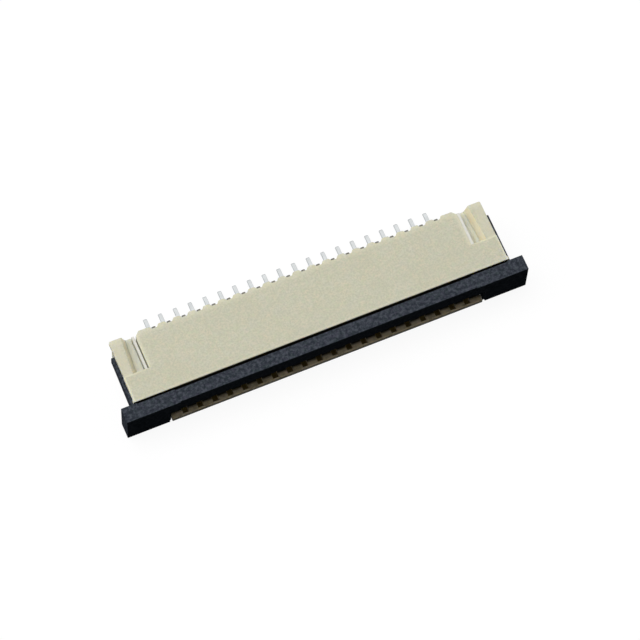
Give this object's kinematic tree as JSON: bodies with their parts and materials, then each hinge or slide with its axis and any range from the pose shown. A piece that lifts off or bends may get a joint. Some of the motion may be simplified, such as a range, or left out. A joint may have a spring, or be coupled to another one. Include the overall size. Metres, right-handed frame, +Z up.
{
  "type": "fpc connector",
  "caption": "Low right-angle connector for a flat flexible cable: cream moulded housing, stamped fork contacts with solder tails, two fitting nails and a black pull-out slider.",
  "frame": {"origin": "bottom centre of the bounding box, on the plane of the board", "axes": "+X along the row of contacts, -Y towards the cable and slider, +Y towards the solder tails, +Z up from the board"},
  "size_m": [0.0268, 0.007, 0.0026],
  "materials": {
    "housing_plastic": "satin moulded liquid-crystal polymer, cream",
    "slider_plastic": "matte moulded glass-filled plastic, black",
    "contact_metal": "tin-plated stamped spring metal",
    "nail_metal": "tin-plated sheet metal"
  },
  "bodies": {
    "housing_assembly": {"housing": "housing_plastic", "contact_01": "contact_metal", "contact_02": "contact_metal", "contact_03": "contact_metal", "contact_04": "contact_metal", "contact_05": "contact_metal", "contact_06": "contact_metal", "contact_07": "contact_metal", "contact_08": "contact_metal", "contact_09": "contact_metal", "contact_10": "contact_metal", "contact_11": "contact_metal", "contact_12": "contact_metal", "contact_13": "contact_metal", "contact_14": "contact_metal", "contact_15": "contact_metal", "contact_16": "contact_metal", "contact_17": "contact_metal", "contact_18": "contact_metal", "contact_19": "contact_metal", "contact_20": "contact_metal", "fitting_nail_left": "nail_metal", "fitting_nail_right": "nail_metal"},
    "actuator": {"slider": "slider_plastic"}
  },
  "joints": [
    {"name": "slider_pull", "type": "slide", "parent": "housing_assembly", "child": "actuator", "axis": [0, -1, 0], "range_m": [0, 0.0015]}
  ]
}
